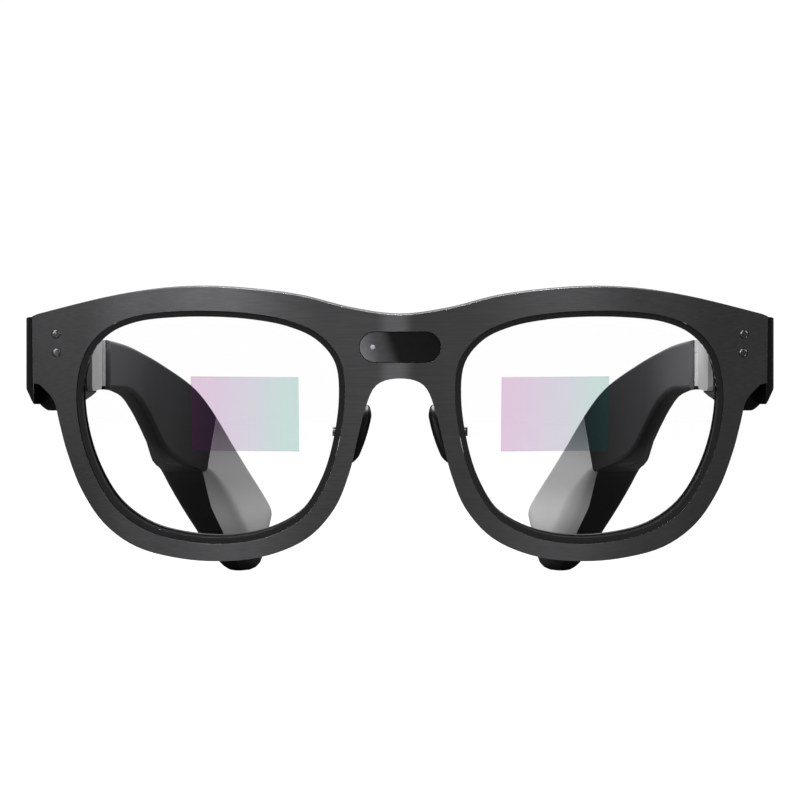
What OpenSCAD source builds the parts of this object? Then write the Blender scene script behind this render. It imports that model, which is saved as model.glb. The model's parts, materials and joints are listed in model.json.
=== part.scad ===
// Smart glasses with see-through displays, open and level as they are worn.
// The front faces -Y, the temples run back along +Y and +X is the wearer's left.
// The origin is under the middle of the glasses, level with the lowest point of the ear tips.

/* [Front] */
// Forward lean of the front from the vertical, in degrees
tilt = 9; // [7:0.5:11]
// Radius of the front's gentle wrap around the face
wrap_r = 700; // [650:50:900]
// Thickness of the metal front plate
plate_t = 1.2; // [1:0.1:1.3]
// Depth of the moulded chassis behind the plate
chassis_t = 4; // [3.9:0.05:4.1]
// Width of the black lip that each lens liner shows
lip_w = 1.25; // [1:0.05:1.5]
// Gap between neighbouring parts of the front
gap = 0.05; // [0.03:0.01:0.08]

/* [Optics] */
// Distance between the centres of the two display windows
eye_spacing = 64; // [60:0.5:68]
// Width of each display window
display_w = 22.3; // [18:0.1:24]
// Height of each display window
display_h = 15.5; // [12:0.1:17]
// Width of the dark sensor window in the bridge
window_w = 16.3; // [14:0.1:17]
// Height of the dark sensor window in the bridge
window_h = 6.1; // [5:0.1:6.5]
// Radius of the camera barrel behind the sensor window
camera_r = 2.1; // [1.6:0.1:2.2]

/* [Hinges] */
// Distance of each hinge axis from the middle plane
hinge_x = 66.2; // [66:0.1:66.4]
// Radius of the hinge knuckles
knuckle_r = 2; // [1.8:0.1:2.1]
// Radius of the hinge pins
pin_r = 0.8; // [0.6:0.1:0.9]
// Running clearance between a pin and its bores
pin_clear = 0.05; // [0.03:0.01:0.08]

/* [Temples] */
// Wall thickness of the temple shells
wall_t = 1.2; // [1:0.1:1.4]
// Thickness of the flat inner covers
cover_t = 1; // [0.8:0.1:1.1]
// Distance of the ear tips' rear ends behind the bridge
temple_end = 155; // [150:1:156]
// Travel of the capture button
button_travel = 0.4; // [0.2:0.05:0.5]

/* [Nose pads] */
// Thickness of each silicone nose pad
pad_t = 3; // [2.4:0.1:3.2]
// Radius of the wire of the nose pad arms
wire_r = 0.55; // [0.45:0.05:0.6]

/* [Hidden] */
$fn = 48;

// Smoothness of the big wrap radius, and of the lofted temple parts
wrap_fn = 720;
corner_steps = 4;

// Extent of the worn glasses ahead of the bridge, behind it and below eye level
foremost_y = -3.019;
rearmost_y = 154.525;
lowest_z = -51.653;

// Depths of the stack behind the plate's outer face
chassis_front = plate_t + gap;
chassis_back = plate_t + chassis_t;
lip_front = 0.25;
lip_back = 1.6;
lens_front = lip_back + gap;
lens_back = 3.35;
film_front = 3.42;
film_back = 3.54;
guide_front = 3.6;
guide_back = 4.4;
ring_front = guide_back + gap;

// Steps inward from the edge of a lens opening
liner_step = 0.04;
sleeve_t = 0.5;
ring_w = 0.85;
glass_step = liner_step + sleeve_t + gap;

// Middle of the sensor window, of the display windows and of the corner studs
window_z = 10.8;
display_z = -3.6;
led_x = 5.5;
camera_x = 3.4;
stud_x = 70.3;
stud_z = [9.2, 13];
stud_r = 0.9;
shank_r = 0.55;

// Bridge block behind the chassis, with its upright rear face
block_w = 24;
block_h = 9.6;
block_front = chassis_back + 0.16;
block_back = 6.2;
insert_hole_x = 6.5;
insert_hole_z = 10.8;
insert_hole_r = 0.9;
insert_hole_depth = 1.6;
bridge_screw_x = 9.9;
screw_head_r = 0.95;
screw_r = 0.5;

// Hinge stack
hinge_y = 21.5;
knuckle_low = 3;
knuckle_high = 13.2;
middle_low = 6;
middle_high = 10.2;
knuckle_gap = 0.06;
notch_x = hinge_x + knuckle_r + 0.4;
notch_end = 24.1;
seat_r = knuckle_r + 0.65;
leaf_t = 1.8;
front_face_y = 21.2;

// End housings
housing_in = 65.6;
housing_out = 78.5;
housing_back = 21;
housing_cut = 75.5;

// Nose pad arms, pivots and pads
foot_at = [10.3, -6.6];
elbow = [13.6, 10.9, -6.7];
pivot = [12.5, 13.4, -6.7];
fork_y = [11.1, 15.6];
lug_r = 1.05;
lug_half = 0.7;
ear_gap = 0.08;
ear_t = 0.7;
pad_screw_r = 0.45;
pad_centre = [8.9, 13.4, -7.2];
pad_half = [3.6, 6.6];
pad_splay = 17.5;
pad_toe = 15;

// Sizes along the temples at every 10 mm behind the bridge, from 20 to 160 mm
first_y = 20;
step_y = 10;
inner_x = [64, 63.1, 62, 60.9, 59.7, 58.6, 57.4, 56.2, 55, 53.4, 51, 47.9, 44.5, 40.9, 36.9];
outer_x = [77.8, 76.7, 74.9, 73, 71.4, 70.6, 70.2, 69.8, 69, 67.9, 66, 63, 58.6, 52.2, 45];
under_x = [73, 71, 68, 65, 63.6, 63, 63.5, 65.3, 66.9, 67.4, 65.5, 61, 55.4, 48.4, 40.9];
top_z = [13.3, 13, 12.4, 11.3, 10, 8.5, 6.9, 5.1, 2.9, -0.6, -6.2, -13.7, -21.4, -29.2, -38.2];
under_z = [2.2, 2.4, 2, -0.6, -6, -11.8, -15.1, -16.9, -18.3, -20.1, -26.8, -36.1, -45.6, -55.6, -65];
root_end = 42;
lip_set = 0.05;
part_line = 117;
cover_start = 24.6;

// Charging port
port_at = [46.4, 151.6, -42.6];
port_size = [3.2, 9];
port_deep = 6;
tip_lean = 26;

// Capture button on the top of the right temple
button_at = [69.6, 33];
button_size = [2.6, 8];
button_top = 13.1;
button_foot = 11;
button_clear = 0.12;
pocket_floor = 9.6;

// Outline of the front: brow from the middle outwards, then the lower edge back to the bridge
brow_half = [[0, 17.3], [10, 18.6], [20, 21.1], [30, 22.4], [40, 22.9], [50, 22.3], [61, 20.4], [74.1, 17.1]];
lower_half = [[74.1, 2.6], [71.3, -0.6], [70.2, -5.5], [68.8, -11.5], [66.1, -19.2], [61.5, -26.4], [54.7, -31.3],
    [45.5, -33.6], [36.5, -34], [27.4, -32.7], [19.2, -29], [13.5, -22.7], [10.4, -15.2],
    [8.8, -8.6], [7.2, -2.2], [4.8, 3], [0, 4.4]];
end_corner_top = [75.1, 16.7];
end_corner_low = [75.5, 2.9];
// Outline of one lens opening, from its top towards the temple and round
opening_points = [[37.9, 18.1], [46.3, 17.9], [53.8, 16.9], [60, 14.2], [64.4, 9.2], [66.4, 1.5], [65.9, -7.3],
    [63.4, -15.8], [59, -23.1], [52.3, -27.9], [44, -30], [35.2, -30.3], [26.6, -28.5], [19.4, -24.1],
    [14.9, -16.8], [12.4, -8.5], [11.2, 0.5], [12, 8], [16.2, 13.3], [22.5, 16.2], [30, 17.6]];

// Cubic curves through points
function bend(a, b, c, d, t) =
    0.5 * (2 * b + (c - a) * t + (2 * a - 5 * b + 4 * c - d) * t * t + (3 * b - a - 3 * c + d) * t * t * t);
function curve(p, n) = let (m = len(p) - 1)
    [for (i = [0:m - 1], k = [0:n - 1]) bend(p[max(i - 1, 0)], p[i], p[i + 1], p[min(i + 2, m)], k / n), p[m]];
function closed_curve(p, n) = let (m = len(p))
    [for (i = [0:m - 1], k = [0:n - 1]) bend(p[(i + m - 1) % m], p[i], p[(i + 1) % m], p[(i + 2) % m], k / n)];
// A value of one of the temple tables at any distance behind the bridge
function along(table, y) = let (s = (y - first_y) / step_y, m = len(table) - 1, i = min(max(floor(s), 0), m - 1))
    bend(table[max(i - 1, 0)], table[i], table[i + 1], table[min(i + 2, m)], s - i);
function unit(v) = v / norm(v);
// The clockwise ring p moved in (positive) or out (negative) along its normals
function inset(p, d) = let (m = len(p)) [for (i = [0:m - 1])
    let (v = unit(p[(i + 1) % m] - p[(i + m - 1) % m])) p[i] + d * [v.y, -v.x]];

brow = curve(concat([for (i = [len(brow_half) - 1:-1:1]) [-brow_half[i].x, brow_half[i].y]], brow_half), 5);
lower = curve(concat(lower_half, [for (i = [len(lower_half) - 2:-1:0]) [-lower_half[i].x, lower_half[i].y]]), 5);
front_outline = concat(brow, [end_corner_top, end_corner_low], lower,
    [[-end_corner_low.x, end_corner_low.y], [-end_corner_top.x, end_corner_top.y]]);
opening = closed_curve(opening_points, 5);

// Places a part modelled at eye level with the bridge at y = 0
module worn() translate([0, -(foremost_y + rearmost_y) / 2, -lowest_z]) children();
module on_side(side) mirror([side < 0 ? 1 : 0, 0, 0]) children();
module leaned() rotate([tilt, 0, 0]) children();
module drum(depth) translate([0, wrap_r, -60]) cylinder(r = wrap_r - depth, h = 120, $fn = wrap_fn);
module upright(a, b) rotate([90, 0, 0]) translate([0, 0, -b]) linear_extrude(b - a) children();
// A curved sheet of the front between two depths, with a given outline
module layer(near, far) intersection() {
    difference() { drum(near); drum(far); }
    upright(-8, 14) children();
}
module stadium(w, h) {
    square([w - h, h], center = true);
    for (s = [-1, 1]) translate([s * (w - h) / 2, 0]) circle(d = h);
}
module both_openings(step) for (s = [-1, 1]) mirror([s < 0 ? 1 : 0, 0]) polygon(inset(opening, step));
module stud_marks(r) for (s = [-1, 1], z = stud_z) translate([s * stud_x, z]) circle(r = r);
module display_outline() translate([eye_spacing / 2, display_z]) square([display_w, display_h], center = true);
module brow_band(high, low) polygon(concat(inset(brow, high), [for (i = [len(brow) - 1:-1:0]) inset(brow, low)[i]]));

// Brushed metal plate that covers the whole front
module front_plate() color("dimgray") worn() leaned() layer(0, plate_t) difference() {
    polygon(front_outline);
    both_openings(0);
    translate([0, window_z]) stadium(window_w + 0.3, window_h + 0.3);
    stud_marks(stud_r + gap);
}

// Moulded frame behind the plate, with both lens seats and the sensor well
module frame_chassis() color([0.08, 0.08, 0.09]) worn() leaned() difference() {
    layer(chassis_front, chassis_back) difference() {
        polygon(inset(front_outline, 0.15));
        both_openings(0);
        translate([0, window_z]) stadium(window_w - 1.4, window_h - 0.8);
        stud_marks(shank_r + gap);
    }
    layer(chassis_front - 1, chassis_front + 0.35) intersection() {
        brow_band(1.3, 3.5);
        translate([0, 20]) square([133, 14], center = true);
    }
    for (s = [-1, 1]) on_side(s) pad_arm_foot(gap);
}

// Flexible circuit under the brow that joins the two light engines
module front_flex() color("peru") worn() leaned() layer(chassis_front + 0.1, chassis_front + 0.28) intersection() {
    brow_band(1.5, 3.3);
    translate([0, 20]) square([132, 14], center = true);
}

// Dark glass over the camera and the lamp
module sensor_window() color([0.02, 0.02, 0.03]) worn() leaned()
    layer(0.12, plate_t) translate([0, window_z]) stadium(window_w, window_h);

// Camera with its barrel, in the well behind the sensor window
module camera_module() color([0.12, 0.12, 0.14]) worn() leaned() translate([camera_x, 0, window_z]) {
    rotate([-90, 0, 0]) translate([0, 0, chassis_front + 0.1]) cylinder(r = camera_r, h = 1.2);
    translate([-camera_r - 0.2, chassis_front + 1.2, -camera_r - 0.1])
        cube([2 * camera_r + 0.4, 2, 2 * camera_r + 0.2]);
}

// Indicator lamp beside the camera
module indicator_led() color("white") worn() leaned() translate([-led_x, chassis_front + 0.1, window_z])
    rotate([-90, 0, 0]) {
        cylinder(d = 1.1, h = 0.6);
        translate([-0.9, -0.9, 0.5]) cube([1.8, 1.8, 0.8]);
    }

// Block behind the bridge with two locating holes for a prescription insert
module bridge_cover() color([0.1, 0.1, 0.11]) worn() difference() {
    intersection() {
        leaned() upright(block_front, 20) translate([0, window_z]) stadium(block_w, block_h);
        translate([-20, -2, -5]) cube([40, block_back + 2, 30]);
    }
    for (s = [-1, 1]) {
        translate([s * insert_hole_x, block_back, insert_hole_z]) rotate([90, 0, 0])
            translate([0, 0, -1]) cylinder(r = insert_hole_r, h = insert_hole_depth + 1);
        translate([s * bridge_screw_x, block_back, insert_hole_z]) rotate([90, 0, 0]) {
            translate([0, 0, -1]) cylinder(r = screw_head_r + gap, h = 1.6);
            cylinder(r = screw_r + gap, h = 1.7);
        }
    }
}

// Two small screws that hold the bridge block
module bridge_screws() color("silver") worn() for (s = [-1, 1])
    translate([s * bridge_screw_x, block_back - 0.1, insert_hole_z]) rotate([90, 0, 0]) difference() {
        union() {
            cylinder(r = screw_head_r, h = 0.45);
            cylinder(r = screw_r, h = 1.55);
        }
        for (a = [0, 90]) rotate([0, 0, a]) cube([1.1, 0.22, 0.4], center = true);
    }

// Black liner with the visible lip around a lens
module lens_liner(side) color([0.05, 0.05, 0.06]) worn() on_side(side) leaned() union() {
    layer(lip_front, lip_back) difference() {
        polygon(inset(opening, liner_step));
        polygon(inset(opening, lip_w));
    }
    layer(lip_back, guide_back) difference() {
        polygon(inset(opening, liner_step));
        polygon(inset(opening, liner_step + sleeve_t));
    }
}

// Clear outer lens behind the lip
module cover_lens(side) color([0.8, 0.9, 0.95, 0.3]) worn() on_side(side) leaned()
    layer(lens_front, lens_back) polygon(inset(opening, glass_step));

// Diffraction film that sends the picture to the eye
module display_window(side) color([0.7, 0.6, 0.8, 0.5]) worn() on_side(side) leaned()
    layer(film_front, film_back) display_outline();

// Glass light guide that carries the picture
module waveguide(side) color([0.85, 0.9, 0.95, 0.3]) worn() on_side(side) leaned()
    layer(guide_front, guide_back) polygon(inset(opening, glass_step));

// Retaining ring behind the glass
module lens_ring(side) color([0.07, 0.07, 0.08]) worn() on_side(side) leaned()
    layer(ring_front, chassis_back) difference() {
        polygon(inset(opening, liner_step));
        polygon(inset(opening, ring_w));
    }

// Two round rivet studs at the outer end of the plate
module studs(side) color("gainsboro") worn() on_side(side) leaned() for (z = stud_z)
    translate([stud_x, stud_x * stud_x / 2 / wrap_r, z]) rotate([-90, 0, 0]) {
        translate([0, 0, -0.15]) cylinder(r = stud_r, h = plate_t);
        cylinder(r = shank_r, h = plate_t + 2);
    }

// A straight round rod between two points
module rod(a, b, r) translate(a) rotate([0, acos((b - a).z / norm(b - a)), atan2((b - a).y, (b - a).x)])
    cylinder(r = r, h = norm(b - a));

// Foot of a nose pad arm, set into the back of the chassis
module pad_arm_foot(grow) translate([foot_at.x, 3.6 - grow, foot_at.y]) rotate([-90, 0, 0])
    cylinder(r = wire_r + grow, h = 3.8);

// Wire arm of a nose pad, ending in the fork that holds the pad's lug
module pad_arm(side) color("silver") worn() on_side(side) {
    root = [foot_at.x, 8.3, foot_at.y + 0.75];
    leaned() pad_arm_foot(0);
    rod([foot_at.x, 7.3, root.z - 0.1], root, wire_r);
    translate(root) sphere(r = wire_r * 1.12, $fn = 32);
    rod(root, elbow, wire_r);
    translate(elbow) sphere(r = wire_r * 1.12, $fn = 32);
    rod(elbow, [elbow.x, fork_y[0] + 1, elbow.z], wire_r);
    translate([pivot.x + lug_r + 0.1, fork_y[0], pivot.z - 0.9]) cube([0.6, fork_y[1] - fork_y[0], 1.8]);
    for (e = [-1, 1]) translate([0, pivot.y + e * (lug_half + ear_gap + ear_t / 2), 0]) difference() {
        union() {
            translate([pivot.x, 0, pivot.z]) rotate([90, 0, 0]) cylinder(r = 0.95, h = ear_t, center = true);
            translate([pivot.x + 0.75, 0, pivot.z]) cube([1.5, ear_t, 1.8], center = true);
        }
        translate([pivot.x, 0, pivot.z]) rotate([90, 0, 0])
            cylinder(r = pad_screw_r + 0.03, h = 3, center = true);
    }
}

// Pivot screw of a nose pad
module pad_screw(side) color("gainsboro") worn() on_side(side) translate(pivot)
    rotate([90, 0, 0]) difference() {
        union() {
            translate([0, 0, -1.55]) cylinder(r = pad_screw_r, h = 3.1);
            translate([0, 0, -1.95]) cylinder(r = 0.75, h = 0.4);
        }
        translate([0, 0, -1.95]) cube([1.6, 0.22, 0.4], center = true);
    }

// Silicone pad with its lug
module nose_pad(side) color([0.09, 0.09, 0.1]) worn() on_side(side) {
    translate(pad_centre) rotate([0, -pad_splay, -pad_toe]) hull() {
        for (a = [0:30:330])
            translate([0, (pad_half[0] - pad_t / 2 + 0.3) * cos(a), (pad_half[1] - pad_t / 2 + 0.3) * sin(a)])
                sphere(r = pad_t / 2 - 0.3, $fn = 20);
        sphere(r = pad_t / 2, $fn = 20);
    }
    translate(pivot) rotate([90, 0, 0]) difference() {
        union() {
            cylinder(r = lug_r, h = 2 * lug_half, center = true);
            translate([-1.4, 0, 0]) cube([2.8, 1.8, 2 * lug_half], center = true);
        }
        cylinder(r = pad_screw_r + pin_clear, h = 4, center = true);
    }
}

// Outer shape of an end housing, met from the side, from above and from the front
module housing_form() intersection() {
    rotate([90, 0, 90]) translate([0, 0, 60]) linear_extrude(30) polygon(concat(
        curve([[2, 17.2], [8, 17], [14, 15.8], [housing_back, 13.4]], 5),
        curve([[housing_back, 1.7], [15, -0.7], [9, -2.3], [2, -2.3]], 5)));
    translate([0, 0, -10]) linear_extrude(40) polygon(concat([[housing_in, 2]],
        curve([[housing_cut + 0.1, 4.4], [77.4, 6.4], [78.3, 9.6], [housing_out, 13.5], [78.2, housing_back]], 5),
        [[housing_in, housing_back]]));
    upright(-5, 30) polygon(concat([[60, 20], [housing_out + 1, 20]],
        curve([[79.2, 7], [78.4, 3.4], [77, 1.4], [75.8, -0.5], [74.5, -1.8], [72.6, -2.6],
            [70.4, -2.4], [68.6, -1.4], [67.2, 0.3], [housing_in, 1.7]], 4), [[60, 1.7]]));
}

// End housing behind the outer end of the front, with a well for the light engine
module housing(side) color([0.06, 0.06, 0.07]) worn() on_side(side) difference() {
    housing_form();
    leaned() difference() {
        translate([0, -10, -40]) cube([housing_cut, 30, 80]);
        drum(chassis_back + gap);
    }
    translate([68.2, 9.9, 2.4]) cube([8.9, 9.6, 10.2]);
    translate([housing_in - 1, 9.9, 2.4]) cube([4, 3.5, 10.2]);
    translate([housing_in - 1, 13.4, knuckle_low - 0.1]) cube([2.7, 9, knuckle_high - knuckle_low + 0.2]);
    translate([hinge_x, hinge_y, -10]) cylinder(r = seat_r, h = 40);
}

// Brushed metal cover on the inner side of the housing
module hinge_cover(side) color("gray") worn() on_side(side) intersection() {
    translate([64.4, 0, 0]) cube([housing_in - gap - 64.4, 19, 20]);
    rotate([90, 0, 90]) linear_extrude(80) polygon(concat([[8.7, 13.9], [18.6, 13.3], [19, 12.9], [19, 3.6]],
        curve([[18.9, 3.1], [18.4, 2.6], [17.6, 2.3], [10.4, 1.9], [9.3, 2.1], [8.8, 3]], 3)));
}

// Projector that feeds the light guide
module light_engine(side) color([0.2, 0.22, 0.25]) worn() on_side(side) {
    translate([69, 11.2, 3]) cube([7.6, 7.8, 9]);
    translate([72, 11.3, 7.5]) rotate([90, 0, 0]) cylinder(r = 2.4, h = 1.2);
}

// Bore of a hinge knuckle
module knuckle_bore() translate([hinge_x, hinge_y, 0]) cylinder(r = pin_r + pin_clear, h = 20);

// Hinge leaf in the end housing, with the two outer knuckles
module front_leaf(side) color("silver") worn() on_side(side) difference() {
    union() {
        for (z = [[knuckle_low, middle_low], [middle_high, knuckle_high]]) {
            translate([hinge_x, hinge_y, z[0]]) cylinder(r = knuckle_r, h = z[1] - z[0]);
            translate([housing_in + 0.1, 13.5, z[0]]) cube([leaf_t - 0.3, hinge_y - 13.5, z[1] - z[0]]);
        }
        translate([housing_in + 0.1, 13.5, knuckle_low])
            cube([leaf_t - 0.3, 4.6, knuckle_high - knuckle_low]);
    }
    knuckle_bore();
}

// Hinge pin
module hinge_pin(side) color("gainsboro") worn() on_side(side) translate([hinge_x, hinge_y, knuckle_low]) {
    translate([0, 0, knuckle_high - knuckle_low + 0.05]) cylinder(r = pin_r + 0.5, h = 0.5);
    cylinder(r = pin_r, h = knuckle_high - knuckle_low + 0.2);
}

// Hinge leaf in the temple, with the middle knuckle
module temple_leaf(side) color("silver") worn() on_side(side) difference() {
    union() {
        translate([hinge_x, hinge_y, middle_low + knuckle_gap])
            cylinder(r = knuckle_r, h = middle_high - middle_low - 2 * knuckle_gap);
        translate([hinge_x - leaf_t / 2, hinge_y, middle_low + knuckle_gap])
            cube([leaf_t, 6, middle_high - middle_low - 2 * knuckle_gap]);
        translate([hinge_x - leaf_t / 2, hinge_y + 3, 4.3]) cube([leaf_t, 9, 7.4]);
    }
    knuckle_bore();
    for (y = [27, 31]) translate([0, y, 8]) rotate([0, 90, 0]) cylinder(r = screw_r, h = 90);
}

// Slant of the stations of a temple, which turn towards the hook's own direction
function slant(y) = 8 * pow(min(max((y - 70) / 55, 0), 1), 2) * (3 - 2 * min(max((y - 70) / 55, 0), 1));
function inner_r(y) = 1 + 3.6 * min(max((y - slant(y) - 108) / 16, 0), 1);
// Height and widths of the section at a station
function foot_y(y) = y - slant(y);
function high(y) = along(top_z, y) - along(under_z, foot_y(y));
function wide(y) = along(outer_x, y) - along(inner_x, y);
function floor_w(y) = along(under_x, foot_y(y)) - along(inner_x, foot_y(y));
// A rounded corner at p between a and b
function corner(a, p, b, r) = let (u = unit(a - p), v = unit(b - p)) [for (k = [0:corner_steps])
    let (t = k / corner_steps) (1 - t) * (1 - t) * (p + r * u) + 2 * t * (1 - t) * p + t * t * (p + r * v)];
// How far up the outer side of a section is widest
function side_up(y) = 0.5 + 0.32 * min(max((100 - y) / 20, 0), 1);
// Corners of the outer side of a section, from the top to the floor, moved in by d
function outer_side(y, d, start, end) = let (h = high(y), w = wide(y), f = floor_w(y),
        a = [w - 2.2 - 0.6 * d, h - d], b = [w - d, side_up(y) * h], c = [f - 0.7 * d, d],
        ab = norm(b - a) / 2, bc = norm(c - b) / 2)
    concat(corner(start, a, b, min(3 - d, 0.9 * ab)), corner(a, b, c, min(5 - d, ab, bc)),
        corner(b, c, end, min(2.6 - d, 0.9 * bc)));
// A section point [across, up] of station y, in space, where s shrinks the section about its middle
function placed(p, y, s) = let (h = high(y), w = wide(y), q = [w / 2, h / 2] + s * (p - [w / 2, h / 2]),
        t = 1 - q.y / h, yy = y - t * slant(y))
    [along(inner_x, yy) + q.x * (along(outer_x, yy) - along(inner_x, yy)) / w, yy,
        along(top_z, y) - t * h];
// A solid through a list of rings with equally many points
module loft(rings) {
    n = len(rings[0]);
    m = len(rings);
    polyhedron(points = [for (r = rings, p = r) p], faces = concat([[for (i = [0:n - 1]) i]],
        [for (k = [0:m - 2], i = [0:n - 1]) each let (a = k * n + i, b = k * n + (i + 1) % n)
            [[a, a + n, b], [b, a + n, b + n]]],
        [[for (i = [n - 1:-1:0]) (m - 1) * n + i]]), convexity = 6);
}

// Rings of the temple's parts at station y, clockwise as seen from the front
function solid_ring(y) = let (h = high(y), x = y < notch_end ? notch_x - along(inner_x, y) : cover_t + gap,
        o = [x, 0], t = [x, h])
    concat([o, t], outer_side(y, 0, t, o));
function channel_ring(y) = let (h = high(y), x = cover_t + gap, o = [x, 0], t = [x, h],
        oi = [x + lip_set, wall_t], ti = [x + lip_set, h - wall_t],
        cavity = outer_side(y, wall_t, ti, oi), m = len(cavity))
    concat([o], [oi], [for (i = [m - 1:-1:0]) cavity[i]], [ti, t], outer_side(y, 0, t, o));
function cover_ring(y) = let (h = high(y), r = min(inner_r(y), cover_t), o = [0, 0], t = [0, h])
    concat(corner([cover_t, 0], o, t, r), corner(o, t, [cover_t, h], 0.9), [[cover_t, h], [cover_t, 0]]);
function core_ring(y) = let (h = high(y), c = wall_t + gap, r = inner_r(y) + gap, o = [c, c], t = [c, h])
    concat([[r, 0], [r, c]], corner([r, c], o, t, max(r - c - 0.1, 0.05)), [t], outer_side(y, 0, t, [r, 0]));
function tip_cover_ring(y) = let (h = high(y), c = wall_t, r = inner_r(y), o = [0, 0], t = [0, h])
    concat([[r, 0.001]], corner([r, 0], o, t, r), corner(o, t, [c, h], 1), [[c, h]],
        corner([c, h], [c, c], [r, c], max(r - c - 0.1, 0.05)), [[r, c]]);

root_stations = [front_face_y, notch_end - 0.05, notch_end, 28, 32, 36, 39, root_end];
shell_stations = [root_end + gap, 46, 50, 54, 58, 62, 66, 70, 75, 80, 85, 90, 95, 100, 105, 109, 113, part_line];
tip_stations = [for (k = [0:9]) part_line + 0.15 + k * (temple_end - part_line - 3.15) / 9];
tip_end = [for (a = [25, 45, 65, 80]) [temple_end - 3 + 3 * sin(a), 1 - 0.13 * (1 - cos(a))]];

// Rear end of the temple's front block, which carries the hinge leaf
module temple_root(side) color([0.11, 0.11, 0.12]) worn() on_side(side) difference() {
    loft([for (y = root_stations) [for (p = solid_ring(y)) placed(p, y, 1)]]);
    translate([hinge_x - leaf_t / 2 - 3, hinge_y - 1, 4.2]) cube([leaf_t + 3.05, 13.1, 7.6]);
    if (side < 0) {
        translate([button_at.x, button_at.y, pocket_floor]) linear_extrude(6)
            rotate([0, 0, 90]) stadium(button_size.y + 2 * button_clear, button_size.x + 2 * button_clear);
    }
}

// Channel-shaped outer shell of the temple
module temple_shell(side) color([0.11, 0.11, 0.12]) worn() on_side(side) difference() {
    loft([for (y = shell_stations) [for (p = channel_ring(y)) placed(p, y, 1)]]);
    grille_place() translate([0, 0, -3]) linear_extrude(6) rotate([0, 0, 90]) stadium(10.2, 3.2);
}

// Flat inner cover of the temple
module temple_cover(side) color([0.2, 0.2, 0.21]) worn() on_side(side) loft([for (y = concat([cover_start],
    [for (y = root_stations) if (y > cover_start) y], shell_stations)) [for (p = cover_ring(y)) placed(p, y, 1)]]);

// Ear tip that hooks down behind the ear
module tip_core(side) color([0.05, 0.05, 0.05]) worn() on_side(side) difference() {
    loft(concat([for (y = tip_stations) [for (p = core_ring(y)) placed(p, y, 1)]],
        [for (e = tip_end) [for (p = core_ring(e[0])) placed(p, e[0], e[1])]]));
    if (side < 0) port_place() port_form(gap, port_deep + 0.2);
}

// Satin skin on the head side of the ear tip
module tip_cover(side) color("darkgray") worn() on_side(side) loft(concat(
    [for (y = tip_stations) [for (p = tip_cover_ring(y)) placed(p, y, 1)]],
    [for (e = tip_end) [for (p = tip_cover_ring(e[0])) placed(p, e[0], e[1])]]));

// Parts inside the temple lie along its own slight inward turn
module inside_temple(y, out, z) translate([along(inner_x, y) + out, y, z]) rotate([0, 0, 6.6]) children();

// Slim battery
module battery(side) color("lightgray") worn() on_side(side) inside_temple(56, 1.6, -9)
    translate([0, 24, 0]) cube([3.4, 24, 7]);

// Circuit board
module board(side) color("darkgreen") worn() on_side(side) inside_temple(56, 1.9, -1)
    translate([0, -2, 0]) cube([0.8, 26, 6]);

// Speaker above its grille
module speaker(side) color([0.15, 0.15, 0.16]) worn() on_side(side) grille_place()
    translate([0, 0, 1.7]) linear_extrude(3.4) rotate([0, 0, 90]) stadium(12, 5);

// Slotted grille in the floor of the temple, ahead of the ear
module grille_place() translate([60.1, 92, along(under_z, 92) + 0.05]) rotate([-8.5, 0, 6]) children();
module speaker_grille(side) color([0.3, 0.3, 0.32]) worn() on_side(side) grille_place() linear_extrude(1) difference() {
    rotate([0, 0, 90]) stadium(10, 3);
    for (k = [-3:3]) translate([0, 1.2 * k]) square([1.8, 0.5], center = true);
}

// Capture button, its switch and the charging contacts
module capture_button() color([0.3, 0.3, 0.32]) worn() on_side(-1)
    translate([button_at.x, button_at.y, button_foot]) linear_extrude(button_top - button_foot)
        rotate([0, 0, 90]) stadium(button_size.y, button_size.x);
module capture_switch() color("silver") worn() on_side(-1) translate([button_at.x, button_at.y, pocket_floor + 0.02]) {
    translate([-1.2, -2, 0]) cube([2.4, 4, 0.5]);
    translate([0, 0, 0.4]) cylinder(r = 0.8, h = 0.35);
}

// Charging port in the rear end of the right ear tip
module port_place() translate(port_at) rotate([-tip_lean, 0, 0]) rotate([-90, 0, 0]) children();
module port_form(grow, deep) translate([0, 0, -deep]) linear_extrude(deep + 6 * grow)
    rotate([0, 0, 90]) stadium(port_size.y + 2 * grow, port_size.x + 2 * grow);
module charge_port() color("silver") worn() on_side(-1) port_place() difference() {
    port_form(0, port_deep);
    difference() {
        translate([0, 0, 0.8]) port_form(-0.3, port_deep);
        translate([-0.35, -3.2, -port_deep]) cube([0.7, 6.4, port_deep - 0.9]);
    }
}

front_plate();
frame_chassis();
front_flex();
sensor_window();
camera_module();
indicator_led();
bridge_cover();
bridge_screws();
lens_liner(1);  // left_lens_liner
lens_liner(-1);  // right_lens_liner
cover_lens(1);  // left_cover_lens
cover_lens(-1);  // right_cover_lens
display_window(1);  // left_display_window
display_window(-1);  // right_display_window
waveguide(1);  // left_waveguide
waveguide(-1);  // right_waveguide
lens_ring(1);  // left_lens_ring
lens_ring(-1);  // right_lens_ring
studs(1);  // left_studs
studs(-1);  // right_studs
pad_arm(1);  // left_pad_arm
pad_arm(-1);  // right_pad_arm
pad_screw(1);  // left_pad_screw
pad_screw(-1);  // right_pad_screw
nose_pad(1);  // left_nose_pad
nose_pad(-1);  // right_nose_pad
housing(1);  // left_housing
housing(-1);  // right_housing
hinge_cover(1);  // left_hinge_cover
hinge_cover(-1);  // right_hinge_cover
light_engine(1);  // left_light_engine
light_engine(-1);  // right_light_engine
front_leaf(1);  // left_front_leaf
front_leaf(-1);  // right_front_leaf
hinge_pin(1);  // left_hinge_pin
hinge_pin(-1);  // right_hinge_pin
temple_leaf(1);  // left_temple_leaf
temple_leaf(-1);  // right_temple_leaf
temple_root(1);  // left_temple_root
temple_root(-1);  // right_temple_root
temple_shell(1);  // left_temple_shell
temple_shell(-1);  // right_temple_shell
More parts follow.
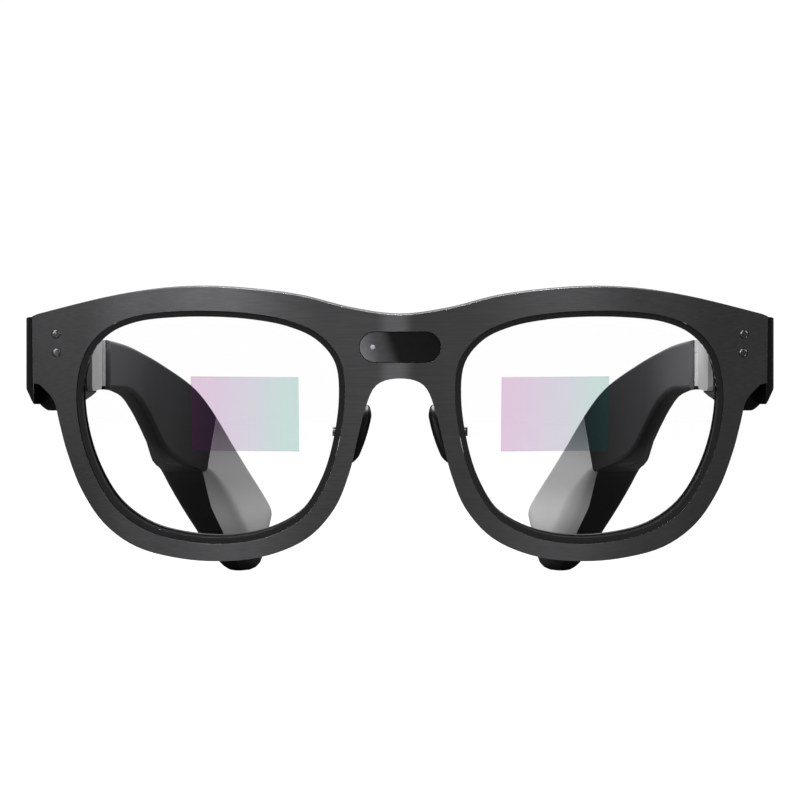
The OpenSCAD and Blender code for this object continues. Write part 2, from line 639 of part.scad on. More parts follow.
temple_cover(1);  // left_temple_cover
temple_cover(-1);  // right_temple_cover
tip_core(1);  // left_tip_core
tip_core(-1);  // right_tip_core
tip_cover(1);  // left_tip_cover
tip_cover(-1);  // right_tip_cover
battery(1);  // left_battery
battery(-1);  // right_battery
board(1);  // left_board
board(-1);  // right_board
speaker(1);  // left_speaker
speaker(-1);  // right_speaker
speaker_grille(1);  // left_speaker_grille
speaker_grille(-1);  // right_speaker_grille
capture_button();
capture_switch();
charge_port();
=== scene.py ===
import json
import math

import bmesh
import bpy
from mathutils import Matrix, Vector


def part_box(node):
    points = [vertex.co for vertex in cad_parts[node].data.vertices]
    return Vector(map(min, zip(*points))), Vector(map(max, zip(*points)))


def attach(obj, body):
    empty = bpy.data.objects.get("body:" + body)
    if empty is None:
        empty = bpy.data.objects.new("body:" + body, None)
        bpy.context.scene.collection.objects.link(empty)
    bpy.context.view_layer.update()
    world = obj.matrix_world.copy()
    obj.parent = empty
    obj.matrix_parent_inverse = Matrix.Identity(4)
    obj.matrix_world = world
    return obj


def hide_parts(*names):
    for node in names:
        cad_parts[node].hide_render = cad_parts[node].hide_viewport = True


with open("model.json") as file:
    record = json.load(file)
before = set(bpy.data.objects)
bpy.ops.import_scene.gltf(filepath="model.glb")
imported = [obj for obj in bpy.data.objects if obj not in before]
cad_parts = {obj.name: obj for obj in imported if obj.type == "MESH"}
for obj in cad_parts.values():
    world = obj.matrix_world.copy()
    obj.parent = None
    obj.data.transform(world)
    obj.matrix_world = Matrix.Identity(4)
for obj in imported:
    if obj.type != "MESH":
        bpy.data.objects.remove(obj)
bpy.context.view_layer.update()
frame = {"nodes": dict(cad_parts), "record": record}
nodes = frame["nodes"]
scene = bpy.context.scene
MM = 0.001

# ---------------------------------------------------------------- Camera
# A long lens looks level and straight along +Y at the front from about 30 cm,
# at the height of the eyes, so the temples run away from it on both sides.
eye_level = Vector((0.0, -0.075753, 0.051653))
camera_distance = 300.0 * MM
camera_data = bpy.data.cameras.new("front_camera")
camera_data.lens = 66.42
camera_data.sensor_width = 36.0
camera_data.clip_start = 0.01
camera = bpy.data.objects.new("front_camera", camera_data)
camera.location = eye_level - Vector((0.0, camera_distance, 0.0))
camera.rotation_euler = (math.radians(90.0), 0.0, 0.0)
scene.collection.objects.link(camera)
scene.camera = camera

# ---------------------------------------------------------------- Studio
# A white room: a pale paper floor under the ear tips and an even white sky. Soft boxes stand in
# front, high and low on the wearer's right and weakly on the left, overhead and behind. A small
# one hangs above the bridge and reaches the inner sides of the temples.
scene.view_settings.view_transform = "Standard"
scene.view_settings.look = "None"


def white_where_seen(tree, seen, unseen):
    """A strength for the backdrop: bright where it is looked at, lower where it lights things."""
    path = tree.nodes.new("ShaderNodeLightPath")
    looked_at = tree.nodes.new("ShaderNodeMath")
    looked_at.operation = "MAXIMUM"
    tree.links.new(path.outputs["Is Camera Ray"], looked_at.inputs[0])
    tree.links.new(path.outputs["Is Transmission Ray"], looked_at.inputs[1])
    strength = tree.nodes.new("ShaderNodeMapRange")
    strength.inputs["To Min"].default_value = unseen
    strength.inputs["To Max"].default_value = seen
    tree.links.new(looked_at.outputs[0], strength.inputs["Value"])
    return strength.outputs["Result"]


just_white = 1.03
room_glow = 0.07
sky = bpy.data.worlds.new("white_room")
sky.use_nodes = True
sky_light = sky.node_tree.nodes["Background"]
sky_light.inputs["Color"].default_value = (1.0, 1.0, 1.0, 1.0)
sky.node_tree.links.new(white_where_seen(sky.node_tree, just_white, room_glow),
                        sky_light.inputs["Strength"])
scene.world = sky

floor_half = 3.0
bm = bmesh.new()
bmesh.ops.create_grid(bm, x_segments=1, y_segments=1, size=floor_half)
floor_mesh = bpy.data.meshes.new("floor")
bm.to_mesh(floor_mesh)
bm.free()
floor = bpy.data.objects.new("floor", floor_mesh)
scene.collection.objects.link(floor)
paper = bpy.data.materials.new("pale_paper")
paper.use_nodes = True
paper_shader = paper.node_tree.nodes["Principled BSDF"]
paper_shader.inputs["Base Color"].default_value = (0.06, 0.06, 0.06, 1.0)
paper_shader.inputs["Roughness"].default_value = 0.9
paper_shader.inputs["Specular IOR Level"].default_value = 0.0
paper_shader.inputs["Emission Color"].default_value = (1.0, 1.0, 1.0, 1.0)
paper.node_tree.links.new(white_where_seen(paper.node_tree, just_white, 0.0),
                          paper_shader.inputs["Emission Strength"])
floor.data.materials.append(paper)


def soft_box(name, place, size, watts):
    """A rectangular lamp, size and place in metres, that faces the bridge."""
    light_data = bpy.data.lights.new(name, "AREA")
    light_data.shape = "RECTANGLE"
    light_data.size, light_data.size_y = size
    light_data.energy = watts
    light = bpy.data.objects.new(name, light_data)
    light.location = place
    light.rotation_euler = (eye_level - Vector(place)).to_track_quat("-Z", "Y").to_euler()
    scene.collection.objects.link(light)


soft_box("high_box", (-0.35, -0.6, 0.75), (0.5, 0.35), 5.0)
soft_box("low_box", (-0.55, -0.9, 0.16), (0.5, 0.2), 3.0)
soft_box("far_box", (0.7, -0.7, 0.35), (0.3, 0.5), 1.6)
soft_box("top_box", (0.0, 0.15, 0.8), (0.8, 0.5), 4.0)
soft_box("rear_box", (0.0, 0.45, 0.95), (0.5, 0.3), 3.0)
soft_box("inner_box", (0.0, 0.03, 0.33), (0.1, 0.1), 1.3)

# ---------------------------------------------------------------- Front plate
# One sheet of aluminium, cut and pressed to the wrap of the face, brushed along its length,
# anodised gunmetal and then cut bright on its rounded edges. Clipped to the chassis. Bands of
# painted sheen lie across its colour.
record = frame["record"]
body_of = {node: body for body, held in record["behaviour"]["bodies"].items() for node in held}
WELD = 0.0005 * MM
SHARP = math.radians(30.0)


def softened(piece, node, edge, material, segments=2, smooth=35.0):
    """A merged copy of a CAD node, in its place, with its sharp edges rounded over by edge mm.
    The rounded faces are marked, so that a finish can show wear on them."""
    bm = bmesh.new()
    bm.from_mesh(nodes[node].data)
    bmesh.ops.remove_doubles(bm, verts=bm.verts, dist=WELD)
    marked = bm.faces.layers.float.new("rounded")
    if edge:
        corners = [e for e in bm.edges if e.is_manifold and e.calc_face_angle() > SHARP]
        rounded = bmesh.ops.bevel(bm, geom=corners, offset=edge * MM, offset_type="OFFSET",
                                  segments=segments, profile=0.5, affect="EDGES", material=-1,
                                  clamp_overlap=True)
        for face in rounded["faces"]:
            face[marked] = 1.0
    return placed(piece, bm, material, (node,), smooth)


def placed(piece, bm, material, stands_for, smooth=35.0):
    """The finished bmesh as a piece that stands for CAD nodes and rides on their body. Weighted
    normals keep its large faces flat beside their rounded edges."""
    mesh = bpy.data.meshes.new(piece)
    bm.to_mesh(mesh)
    bm.free()
    mesh.shade_smooth()
    mesh.set_sharp_from_angle(angle=math.radians(smooth))
    mesh.materials.append(material)
    obj = bpy.data.objects.new(piece, mesh)
    scene.collection.objects.link(obj)
    normals = obj.modifiers.new("flat_faces_stay_flat", "WEIGHTED_NORMAL")
    normals.weight = 100
    normals.keep_sharp = True
    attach(obj, body_of[stands_for[0]])
    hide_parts(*stands_for)
    return obj


def painted_light_ramp(tree, where, along, stops):
    """Painted light and shade: how much lighter or darker a finish's colour is painted along a
    direction from the frame's origin. The stops are pairs of a distance in mm and a lightness,
    where 1 leaves the colour as it is."""
    reach = tree.nodes.new("ShaderNodeVectorMath")
    reach.operation = "DOT_PRODUCT"
    reach.inputs[1].default_value = Vector(along).normalized() / MM
    tree.links.new(where, reach.inputs[0])
    first, last = stops[0][0], stops[-1][0]
    share = tree.nodes.new("ShaderNodeMapRange")
    share.inputs["From Min"].default_value = first
    share.inputs["From Max"].default_value = last
    tree.links.new(reach.outputs["Value"], share.inputs["Value"])
    painted_tones = tree.nodes.new("ShaderNodeValToRGB")
    painted_tones.color_ramp.interpolation = "EASE"
    for distance, _ in stops[1:-1]:
        painted_tones.color_ramp.elements.new((distance - first) / (last - first))
    lightest = max(painted_light for _, painted_light in stops)
    for stop, (_, painted_light) in zip(painted_tones.color_ramp.elements, stops):
        stop.color = (*[painted_light / lightest] * 3, 1.0)
    tree.links.new(share.outputs["Result"], painted_tones.inputs["Fac"])
    light = tree.nodes.new("ShaderNodeMath")
    light.operation = "MULTIPLY"
    light.inputs[1].default_value = lightest
    tree.links.new(painted_tones.outputs["Color"], light.inputs[0])
    return light.outputs[0]


def surface(name, color, rough, metal=0.0, grain=6000.0, run=(1.0, 1.0, 1.0), mottle=90.0,
            tint=0.12, swing=0.06, height=0.006, wear=0.0, painted_light=None, **even):
    """A worked surface: grain drawn out along run gives roughness and height, a slow mottle
    shifts the colour, and rounded edges are lighter by wear. Light and shade can also be painted
    into the colour, lighter or darker from place to place along a direction. Even values sit on the
    shader."""
    material = bpy.data.materials.new(name)
    material.use_nodes = True
    tree = material.node_tree
    shader = tree.nodes["Principled BSDF"]
    shader.inputs["Metallic"].default_value = metal
    for socket, value in even.items():
        shader.inputs[socket.replace("_", " ")].default_value = value
    coord = tree.nodes.new("ShaderNodeTexCoord")
    drawn = tree.nodes.new("ShaderNodeMapping")
    drawn.inputs["Scale"].default_value = run
    tree.links.new(coord.outputs["Object"], drawn.inputs["Vector"])
    fine = tree.nodes.new("ShaderNodeTexNoise")
    fine.inputs["Scale"].default_value = grain
    fine.inputs["Detail"].default_value = 3.0
    tree.links.new(drawn.outputs["Vector"], fine.inputs["Vector"])
    slow = tree.nodes.new("ShaderNodeTexNoise")
    slow.inputs["Scale"].default_value = mottle
    slow.inputs["Detail"].default_value = 4.0
    tree.links.new(coord.outputs["Object"], slow.inputs["Vector"])
    noise_low, noise_high = 0.6, 1.4
    both = tree.nodes.new("ShaderNodeMath")
    both.operation = "ADD"
    tree.links.new(fine.outputs["Fac"], both.inputs[0])
    tree.links.new(slow.outputs["Fac"], both.inputs[1])
    shade = tree.nodes.new("ShaderNodeMapRange")
    shade.inputs["From Min"].default_value = noise_low
    shade.inputs["From Max"].default_value = noise_high
    shade.inputs["To Min"].default_value = 1.0 - tint
    shade.inputs["To Max"].default_value = 1.0 + tint
    tree.links.new(both.outputs[0], shade.inputs["Value"])
    edge = tree.nodes.new("ShaderNodeAttribute")
    edge.attribute_name = "rounded"
    worn = tree.nodes.new("ShaderNodeMath")
    worn.operation = "MULTIPLY_ADD"
    worn.inputs[1].default_value = wear
    tree.links.new(edge.outputs["Fac"], worn.inputs[0])
    tree.links.new(shade.outputs["Result"], worn.inputs[2])
    paint = tree.nodes.new("ShaderNodeVectorMath")
    paint.operation = "SCALE"
    paint.inputs[0].default_value = color
    lit = worn.outputs[0]
    # Painted light and shade multiply the colour here.
    if painted_light:
        wear_and_painted_light = tree.nodes.new("ShaderNodeMath")
        wear_and_painted_light.operation = "MULTIPLY"
        tree.links.new(lit, wear_and_painted_light.inputs[0])
        tree.links.new(painted_light_ramp(tree, coord.outputs["Object"], *painted_light), wear_and_painted_light.inputs[1])
        lit = wear_and_painted_light.outputs[0]
    tree.links.new(lit, paint.inputs["Scale"])
    tree.links.new(paint.outputs[0], shader.inputs["Base Color"])
    gloss = tree.nodes.new("ShaderNodeMapRange")
    gloss.inputs["From Min"].default_value = noise_low
    gloss.inputs["From Max"].default_value = noise_high
    gloss.inputs["To Min"].default_value = rough - swing
    gloss.inputs["To Max"].default_value = rough + swing
    tree.links.new(both.outputs[0], gloss.inputs["Value"])
    tree.links.new(gloss.outputs["Result"], shader.inputs["Roughness"])
    relief = tree.nodes.new("ShaderNodeBump")
    relief.inputs["Strength"].default_value = 1.0
    relief.inputs["Distance"].default_value = height * MM
    tree.links.new(fine.outputs["Fac"], relief.inputs["Height"])
    tree.links.new(relief.outputs["Normal"], shader.inputs["Normal"])
    return material


sideways = (1, 0, 0)
# Painted sheen: the plate's colour is painted lighter over the bridge and the middle of each rim,
# and darker towards its ends.
painted_sheen_bands = [(-76, 0.45), (-66, 0.5), (-52, 1.0), (-34, 1.65), (-15, 1.0), (-5, 1.05), (-2, 1.9),
               (0, 1.9), (3, 0.8), (12, 0.9), (34, 1.55), (52, 0.95), (64, 0.68), (76, 0.7)]
brushed_gunmetal = surface("brushed_gunmetal", (0.155, 0.155, 0.16), 0.4, 0.8, grain=7000.0,
                           run=(0.012, 1.0, 1.0), mottle=14.0, tint=0.22, swing=0.06, height=0.004,
                           wear=3.2, painted_light=(sideways, painted_sheen_bands))
softened("brushed_front", "front_plate", 0.16, brushed_gunmetal, segments=3, smooth=12.0)

# ---------------------------------------------------------------- Chassis
# The moulded frame behind the plate, in glass-filled black polyamide with a fine spark-eroded
# texture. The lenses, the bridge block and the end housings all fix to it.
moulded_black = surface("moulded_black", (0.012, 0.012, 0.013), 0.48, grain=5200.0, mottle=120.0,
                        tint=0.2, swing=0.1, height=0.012, wear=0.3, Specular_IOR_Level=0.4)
softened("moulded_frame", "frame_chassis", 0.12, moulded_black)

# ---------------------------------------------------------------- Bridge window
# A pill of dark glass, polished over its edges and glued in the plate. A small pale light guide
# for the indicator lamp ends in its face. A painted highlight lightens the glass's colour at its
# end on the wearer's right and fades up and across towards the middle.
slantwise = (1, 0, 0.35)
# Painted highlight on the dark glass, brightest at its end on the wearer's right.
painted_highlight_fade = [(12, 13.0), (17, 4.5), (20, 0.4), (30, 0.2)]
dark_glass = surface("dark_glass", (0.02, 0.02, 0.021), 0.07, grain=900.0, mottle=60.0, tint=0.2,
                     swing=0.03, height=0.0002, Coat_Weight=0.6, Coat_Roughness=0.04,
                     painted_light=(slantwise, painted_highlight_fade))
softened("dark_pill", "sensor_window", 0.35, dark_glass, segments=4)

front_lean = Matrix.Rotation(math.radians(9.0), 4, "X")
face_radius = 700.0
z_forwards = Matrix.Rotation(math.radians(90.0), 4, "X")


def on_front(x, depth, up):
    """Where a piece sits on the leaned front: x across, depth behind the plate's face and up the
    plate from eye level, all in mm. Its own z axis points out of the plate."""
    wrap = x * x / (2 * face_radius)
    on_lean = Matrix.Translation(Vector((x, depth + wrap, up)) * MM)
    return Matrix.Translation(eye_level) @ front_lean @ on_lean @ z_forwards


def turned(bm, profile, place, steps=32):
    """A part turned on a lathe: a profile of (radius, height) in mm, spun about the place's z.
    Vertices that are tagged are done, and are left alone."""
    points = [bm.verts.new((r * MM, 0.0, h * MM)) for r, h in profile]
    lines = [bm.edges.new(pair) for pair in zip(points, points[1:])]
    bmesh.ops.spin(bm, geom=points + lines, cent=(0, 0, 0), axis=(0, 0, 1), dvec=(0, 0, 0),
                   angle=math.tau, steps=steps, use_merge=True)
    bmesh.ops.remove_doubles(bm, verts=[v for v in bm.verts if not v.tag], dist=WELD)
    made = [v for v in bm.verts if not v.tag]
    bmesh.ops.transform(bm, matrix=place, verts=made)
    for v in made:
        v.tag = True
    bmesh.ops.recalc_face_normals(bm, faces=bm.faces)


lamp_white = surface("lamp_white", (0.75, 0.75, 0.77), 0.3, grain=2600.0, tint=0.08, height=0.001,
                     Subsurface_Weight=0.2)
lamp_profile = [(0, 0.06), (0.3, 0.05), (0.48, 0.0), (0.55, -0.06), (0.55, -1.2), (0, -1.2)]
bm = bmesh.new()
turned(bm, lamp_profile, on_front(x=-5.5, depth=0.12, up=10.8))
placed("lamp_guide", bm, lamp_white, ("indicator_led",))

# ---------------------------------------------------------------- Bridge block
# A black moulded block screwed behind the bridge with two small cross-head steel screws. Its two
# round holes take the pegs of a prescription insert.
softened("bridge_block", "bridge_cover", 0.3, moulded_black, segments=3)
screw_steel = surface("screw_steel", (0.42, 0.42, 0.43), 0.28, 1.0, grain=9000.0, mottle=300.0,
                      tint=0.15, swing=0.08, height=0.002, wear=0.2)
softened("cross_head_screws", "bridge_screws", 0.05, screw_steel)

# ---------------------------------------------------------------- Lens liners and rings
# Two glossy black polycarbonate liners, pressed into the openings, whose rounded lips show around
# the lenses. A ring snapped in behind holds each stack of glass.
polished_black = surface("polished_black", (0.008, 0.008, 0.009), 0.1, grain=1500.0, mottle=200.0,
                         tint=0.2, swing=0.03, height=0.001, wear=0.2, Coat_Weight=1.0,
                         Coat_Roughness=0.05, Coat_IOR=1.7, Specular_IOR_Level=0.8)
for side in ("left", "right"):
    softened(f"{side}_lip", f"{side}_lens_liner", 0.38, polished_black, segments=4)
    softened(f"{side}_snap_ring", f"{side}_lens_ring", 0.12, moulded_black)

# ---------------------------------------------------------------- Lenses and light guides
# Clear cast lenses with an anti-reflective coating, and behind each a thin glass plate that
# carries the picture to the eye. Only their faint reflections and ground edges show.


def clear_glass(name, mirror, tint, edge_tint):
    """Coated clear glass: it passes almost everything, and mirrors more at a glancing angle. A
    faint wiped haze on the coating breaks up its gloss."""
    material = bpy.data.materials.new(name)
    material.use_nodes = True
    tree = material.node_tree
    shader = tree.nodes["Principled BSDF"]
    shader.inputs["Base Color"].default_value = (*edge_tint, 1.0)
    clear = tree.nodes.new("ShaderNodeBsdfTransparent")
    clear.inputs["Color"].default_value = (*tint, 1.0)
    coord = tree.nodes.new("ShaderNodeTexCoord")
    haze = tree.nodes.new("ShaderNodeTexNoise")
    haze.inputs["Scale"].default_value = 45.0
    haze.inputs["Detail"].default_value = 5.0
    tree.links.new(coord.outputs["Object"], haze.inputs["Vector"])
    gloss = tree.nodes.new("ShaderNodeMapRange")
    gloss.inputs["To Min"].default_value = 0.01
    gloss.inputs["To Max"].default_value = 0.07
    tree.links.new(haze.outputs["Fac"], gloss.inputs["Value"])
    tree.links.new(gloss.outputs["Result"], shader.inputs["Roughness"])
    glance = tree.nodes.new("ShaderNodeFresnel")
    glance.inputs["IOR"].default_value = 1.3
    share = tree.nodes.new("ShaderNodeMath")
    share.operation = "MULTIPLY"
    share.inputs[1].default_value = mirror
    tree.links.new(glance.outputs[0], share.inputs[0])
    mix = tree.nodes.new("ShaderNodeMixShader")
    tree.links.new(share.outputs[0], mix.inputs["Fac"])
    tree.links.new(clear.outputs[0], mix.inputs[1])
    tree.links.new(shader.outputs[0], mix.inputs[2])
    tree.links.new(mix.outputs[0], tree.nodes["Material Output"].inputs["Surface"])
    return material


coated_lens = clear_glass("coated_lens", 0.5, (0.998, 0.998, 0.998), (0.02, 0.02, 0.022))
guide_glass = clear_glass("guide_glass", 0.4, (0.997, 0.998, 0.997), (0.03, 0.034, 0.032))
for side in ("left", "right"):
    softened(f"{side}_clear_lens", f"{side}_cover_lens", 0.0, coated_lens)
    softened(f"{side}_guide_plate", f"{side}_waveguide", 0.0, guide_glass)

# ---------------------------------------------------------------- Display windows
# A film of fine grating lines on each light guide, 22 by 15 mm. It passes white light as a pale
# sheen that runs from rose at the wearer's right edge to sea green at the left.


def grating_film(name, start, end, low, high):
    """Film whose colour turns from start to end along x, with a darker sealed line along its top
    and bottom edges and faint upright grating bands."""
    material = bpy.data.materials.new(name)
    material.use_nodes = True
    tree = material.node_tree
    coord = tree.nodes.new("ShaderNodeTexCoord")
    split = tree.nodes.new("ShaderNodeSeparateXYZ")
    tree.links.new(coord.outputs["Object"], split.inputs[0])
    across = tree.nodes.new("ShaderNodeMapRange")
    across.inputs["From Min"].default_value = start
    across.inputs["From Max"].default_value = end
    tree.links.new(split.outputs["X"], across.inputs["Value"])
    banded = tree.nodes.new("ShaderNodeMapping")
    banded.inputs["Scale"].default_value = (1.0, 0.02, 0.02)
    tree.links.new(coord.outputs["Object"], banded.inputs["Vector"])
    bands = tree.nodes.new("ShaderNodeTexNoise")
    bands.inputs["Scale"].default_value = 420.0
    bands.inputs["Detail"].default_value = 3.0
    tree.links.new(banded.outputs["Vector"], bands.inputs["Vector"])
    shifted = tree.nodes.new("ShaderNodeMath")
    shifted.operation = "MULTIPLY_ADD"
    shifted.inputs[1].default_value = 0.22
    tree.links.new(bands.outputs["Fac"], shifted.inputs[0])
    tree.links.new(across.outputs["Result"], shifted.inputs[2])
    passes = tree.nodes.new("ShaderNodeValToRGB")
    passes.color_ramp.elements[0].position = 0.1
    passes.color_ramp.elements[0].color = (0.905, 0.795, 0.888, 1.0)
    passes.color_ramp.elements[1].position = 1.05
    passes.color_ramp.elements[1].color = (0.80, 0.885, 0.868, 1.0)
    middle = passes.color_ramp.elements.new(0.7)
    middle.color = (0.855, 0.845, 0.888, 1.0)
    tree.links.new(shifted.outputs[0], passes.inputs["Fac"])
    height = tree.nodes.new("ShaderNodeMapRange")
    height.inputs["From Min"].default_value = low
    height.inputs["From Max"].default_value = high
    height.inputs["To Min"].default_value = -1.0
    tree.links.new(split.outputs["Z"], height.inputs["Value"])
    out = tree.nodes.new("ShaderNodeMath")
    out.operation = "ABSOLUTE"
    tree.links.new(height.outputs["Result"], out.inputs[0])
    line = tree.nodes.new("ShaderNodeMapRange")
    line.inputs["From Min"].default_value = 0.965
    line.inputs["From Max"].default_value = 0.985
    line.inputs["To Min"].default_value = 1.0
    line.inputs["To Max"].default_value = 0.93
    tree.links.new(out.outputs[0], line.inputs["Value"])
    sealed = tree.nodes.new("ShaderNodeVectorMath")
    sealed.operation = "SCALE"
    tree.links.new(passes.outputs["Color"], sealed.inputs[0])
    tree.links.new(line.outputs["Result"], sealed.inputs["Scale"])
    clear = tree.nodes.new("ShaderNodeBsdfTransparent")
    tree.links.new(sealed.outputs[0], clear.inputs["Color"])
    glow = tree.nodes.new("ShaderNodeValToRGB")
    glow.color_ramp.elements[0].color = (0.42, 0.10, 0.42, 1.0)
    glow.color_ramp.elements[1].color = (0.08, 0.42, 0.43, 1.0)
    tree.links.new(across.outputs["Result"], glow.inputs["Fac"])
    shader = tree.nodes["Principled BSDF"]
    shader.inputs["Roughness"].default_value = 0.35
    tree.links.new(glow.outputs["Color"], shader.inputs["Base Color"])
    mix = tree.nodes.new("ShaderNodeMixShader")
    mix.inputs["Fac"].default_value = 0.05
    tree.links.new(clear.outputs[0], mix.inputs[1])
    tree.links.new(shader.outputs[0], mix.inputs[2])
    tree.links.new(mix.outputs[0], tree.nodes["Material Output"].inputs["Surface"])
    return material


for side in ("left", "right"):
    low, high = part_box(f"{side}_display_window")
    film = grating_film(f"{side}_film", low.x, high.x, low.z, high.z)
    softened(f"{side}_grating", f"{side}_display_window", 0.0, film)

# ---------------------------------------------------------------- Corner rivets
# Two turned steel rivets at each outer end fix the plate to the housing behind it. Each has a low
# dome with one fine turned groove.
rivet_steel = surface("rivet_steel", (0.24, 0.24, 0.25), 0.3, 1.0, grain=8000.0, mottle=400.0,
                      tint=0.15, swing=0.08, height=0.002)
rivet_out, rivet_heights = 70.3, (9.2, 13.0)
rivet_profile = [(0, 0.14), (0.3, 0.135), (0.48, 0.12), (0.52, 0.06), (0.58, 0.05), (0.63, 0.1),
                 (0.76, 0.06), (0.86, -0.02), (0.9, -0.1), (0.9, -1.0), (0.55, -1.05), (0.55, -3.1),
                 (0, -3.1)]
for side, sign in (("left", 1), ("right", -1)):
    bm = bmesh.new()
    for up in rivet_heights:
        turned(bm, rivet_profile, on_front(sign * rivet_out, 0.0, up))
    placed(f"{side}_rivets", bm, rivet_steel, (f"{side}_studs",))

# ---------------------------------------------------------------- Nose pads
# Soft black silicone pads, moulded over a core with a lug, that rock on a screw between the two
# ears of a bent steel wire arm. The arm's foot is pressed into the chassis.
wire_steel = surface("wire_steel", (0.35, 0.35, 0.36), 0.3, 1.0, grain=7000.0, mottle=500.0,
                     tint=0.12, swing=0.08, height=0.002)
silicone = surface("silicone", (0.01, 0.01, 0.011), 0.5, grain=3800.0, mottle=150.0, tint=0.15,
                   swing=0.06, height=0.004, Specular_IOR_Level=0.35)
pad_size = (3.3, 7.2, 13.2)
pad_roundness = 0.82
pad_centre, neck_centre, pivot = (8.9, 13.4, -7.2), (10.9, 13.4, -6.7), (12.5, 13.4, -6.7)
pad_splay, pad_flare = 17.5, 15.0
neck_size = (1.8, 1.3, 1.7)
lug_profile = [(0.48, 0.7), (0.85, 0.7), (1.0, 0.58), (1.05, 0.4), (1.05, -0.4), (1.0, -0.58),
               (0.85, -0.7), (0.48, -0.7), (0.48, 0.7)]


def beside_nose(sign, point):
    """A point in mm from the bridge at eye level, mirrored for the right side, as a move."""
    return Matrix.Translation(eye_level + Vector((sign * point[0], *point[1:])) * MM)


for side, sign in (("left", 1), ("right", -1)):
    softened(f"{side}_wire_arm", f"{side}_pad_arm", 0.07, wire_steel)
    softened(f"{side}_slotted_screw", f"{side}_pad_screw", 0.05, screw_steel)
    bm = bmesh.new()
    bmesh.ops.create_cube(bm, size=1.0)
    bmesh.ops.subdivide_edges(bm, edges=bm.edges, cuts=6, use_grid_fill=True)
    for v in bm.verts:
        v.co = v.co.lerp(v.co.normalized() * 0.5, pad_roundness)
        v.tag = True
    bmesh.ops.scale(bm, verts=bm.verts, vec=Vector(pad_size) * MM)
    pad_turn = (Matrix.Rotation(math.radians(-pad_splay * sign), 4, "Y")
                @ Matrix.Rotation(math.radians(-pad_flare * sign), 4, "Z"))
    bmesh.ops.transform(bm, verts=bm.verts, matrix=beside_nose(sign, pad_centre) @ pad_turn)
    turned(bm, lug_profile, beside_nose(sign, pivot) @ z_forwards, steps=24)
    neck = bmesh.ops.create_cube(bm, size=1.0)["verts"]
    bmesh.ops.scale(bm, verts=neck, vec=Vector(neck_size) * MM)
    bmesh.ops.transform(bm, verts=neck, matrix=beside_nose(sign, neck_centre))
    bmesh.ops.bevel(bm, geom=list({e for v in neck for e in v.link_edges}), offset=0.25 * MM,
                    offset_type="OFFSET", segments=3, profile=0.5, affect="EDGES", material=-1)
    pad = placed(f"{side}_soft_pad", bm, silicone, (f"{side}_nose_pad",), smooth=50.0)

# ---------------------------------------------------------------- End housings
# Black gloss mouldings behind the outer ends of the front, closed on the inner side by a brushed
# metal cover. Each holds the projector that feeds the light guide and the front hinge leaf.
brushed_cover = surface("brushed_cover", (0.85, 0.85, 0.86), 0.4, 0.3, grain=6500.0,
                        run=(1.0, 1.0, 0.02), mottle=60.0, tint=0.18, swing=0.08, height=0.003,
                        wear=0.5)
gloss_black = surface("gloss_black", (0.008, 0.008, 0.009), 0.14, grain=1500.0, mottle=200.0,
                      tint=0.2, swing=0.04, height=0.0015, wear=0.2, Coat_Weight=0.2,
                      Coat_Roughness=0.06, Specular_IOR_Level=0.3)
engine_black = surface("engine_black", (0.03, 0.03, 0.034), 0.4, 0.3, grain=3000.0, tint=0.2)
for side in ("left", "right"):
    softened(f"{side}_end_case", f"{side}_housing", 0.35, gloss_black, segments=3)
    softened(f"{side}_inner_cover", f"{side}_hinge_cover", 0.22, brushed_cover, segments=3)
    softened(f"{side}_projector", f"{side}_light_engine", 0.2, engine_black)

# ---------------------------------------------------------------- Hinges
# Steel barrel hinges. Two outer knuckles belong to the front leaf, one middle knuckle to the
# temple leaf, and a headed pin dropped in from above joins them.
hinge_steel = surface("hinge_steel", (0.88, 0.88, 0.89), 0.34, 0.15, grain=7000.0,
                      run=(1.0, 1.0, 0.05), mottle=300.0, tint=0.12, swing=0.06, height=0.002,
                      wear=0.15)
for side in ("left", "right"):
    softened(f"{side}_outer_knuckles", f"{side}_front_leaf", 0.12, hinge_steel)
    softened(f"{side}_middle_knuckle", f"{side}_temple_leaf", 0.12, hinge_steel)
    softened(f"{side}_headed_pin", f"{side}_hinge_pin", 0.12, screw_steel)

# ---------------------------------------------------------------- Temples
# Hollow temples in matte black nylon with a fine soft-touch coat: a root block on the hinge, a
# channel-shaped shell and a flat inner cover that closes it along its whole length. The inner
# cover's colour carries painted light: much lighter at the hinge end, darker back and down.
soft_touch = surface("soft_touch", (0.013, 0.013, 0.014), 0.44, grain=5000.0, mottle=35.0,
                     tint=0.16, swing=0.07, height=0.006, wear=0.25, Specular_IOR_Level=0.5)
back_and_down = (0, 1, -0.5)
# Painted light on the inner cover: lighter towards the hinge, darker back and down the temple.
painted_light_at_hinge = [(-90, 11.0), (-75, 5.0), (-34, 1.8), (22, 0.35), (80, 0.35)]
cover_grey = surface("cover_grey", (0.026, 0.026, 0.028), 0.42, grain=5000.0, mottle=30.0,
                     tint=0.18, swing=0.07, height=0.005, wear=0.2, Specular_IOR_Level=0.25,
                     painted_light=(back_and_down, painted_light_at_hinge))
for side in ("left", "right"):
    softened(f"{side}_root_block", f"{side}_temple_root", 0.25, soft_touch, smooth=30.0)
    softened(f"{side}_channel_shell", f"{side}_temple_shell", 0.2, soft_touch, smooth=30.0)
    softened(f"{side}_flat_cover", f"{side}_temple_cover", 0.2, cover_grey, smooth=30.0)
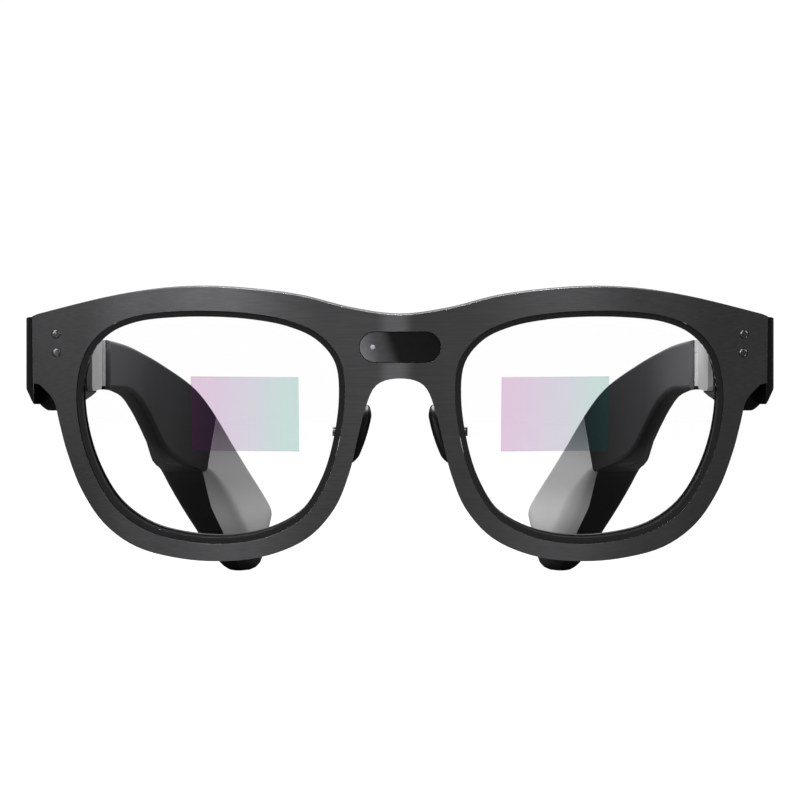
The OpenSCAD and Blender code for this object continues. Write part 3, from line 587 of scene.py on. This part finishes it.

# ---------------------------------------------------------------- Ear tips
# The hooks behind the ears: a black rubbery core, and a satin grey skin moulded onto the side
# that touches the head. Painted shade takes the skin to black at its lower end and darkens it
# towards its top, with a painted highlight between. The right one holds the port.
tip_rubber = surface("tip_rubber", (0.012, 0.012, 0.012), 0.46, grain=4200.0, mottle=60.0,
                     tint=0.15, swing=0.07, height=0.005, Specular_IOR_Level=0.4)
upwards = (0, 0, 1)
# Painted light and shade by height on the skin: black at the bottom, brightest a little above it.
painted_shade_on_skin = [(2, 0.03), (7, 0.05), (10, 0.8), (18, 1.1), (30, 0.8), (48, 0.35)]
tip_satin = surface("tip_satin", (0.7, 0.7, 0.71), 0.4, grain=4200.0, mottle=40.0, tint=0.08,
                    swing=0.06, height=0.004, Specular_IOR_Level=0.6, painted_light=(upwards, painted_shade_on_skin))
for side in ("left", "right"):
    softened(f"{side}_tip_body", f"{side}_tip_core", 0.25, tip_rubber, segments=3, smooth=30.0)
    softened(f"{side}_tip_skin", f"{side}_tip_cover", 0.25, tip_satin, segments=3, smooth=30.0)

# ---------------------------------------------------------------- Speakers, button and port
# Punched steel grilles under the temples in front of the ears, a small anodised capture button on
# top of the right temple, and a plated charging port in the end of the right ear tip.
grille_steel = surface("grille_steel", (0.12, 0.12, 0.125), 0.35, 0.9, grain=6000.0, tint=0.15,
                       wear=0.6)
button_grey = surface("button_grey", (0.16, 0.16, 0.165), 0.36, 0.8, grain=7000.0,
                      run=(1.0, 0.02, 1.0), tint=0.2, height=0.003, wear=0.8)
port_metal = surface("port_metal", (0.5, 0.5, 0.5), 0.3, 1.0, grain=5000.0, tint=0.12, wear=0.1)
for side in ("left", "right"):
    softened(f"{side}_slotted_grille", f"{side}_speaker_grille", 0.1, grille_steel)
softened("anodised_button", "capture_button", 0.3, button_grey, segments=3)
softened("plated_port", "charge_port", 0.12, port_metal)

# ---------------------------------------------------------------- Inside
# Parts shut inside the front and the temples: the camera, the flexible circuit, the boards, foil
# cells, speakers and the button's switch. Each keeps its solid and takes its own finish.
copper_film = surface("copper_film", (0.5, 0.24, 0.09), 0.35, 0.7, grain=4000.0, tint=0.2)
camera_black = surface("camera_black", (0.02, 0.02, 0.022), 0.35, grain=3000.0, tint=0.2)
cell_foil = surface("cell_foil", (0.6, 0.6, 0.61), 0.33, 0.9, grain=1500.0, mottle=250.0,
                    tint=0.12, height=0.03)
board_green = surface("board_green", (0.02, 0.12, 0.05), 0.4, grain=2500.0, mottle=700.0,
                      tint=0.35)
switch_metal = surface("switch_metal", (0.6, 0.6, 0.6), 0.3, 1.0, grain=4000.0)
hidden = {"front_flex": copper_film, "camera_module": camera_black, "capture_switch": switch_metal}
for side in ("left", "right"):
    hidden |= {f"{side}_board": board_green, f"{side}_battery": cell_foil,
               f"{side}_speaker": engine_black}
for node, material in hidden.items():
    nodes[node].data.materials.clear()
    nodes[node].data.materials.append(material)
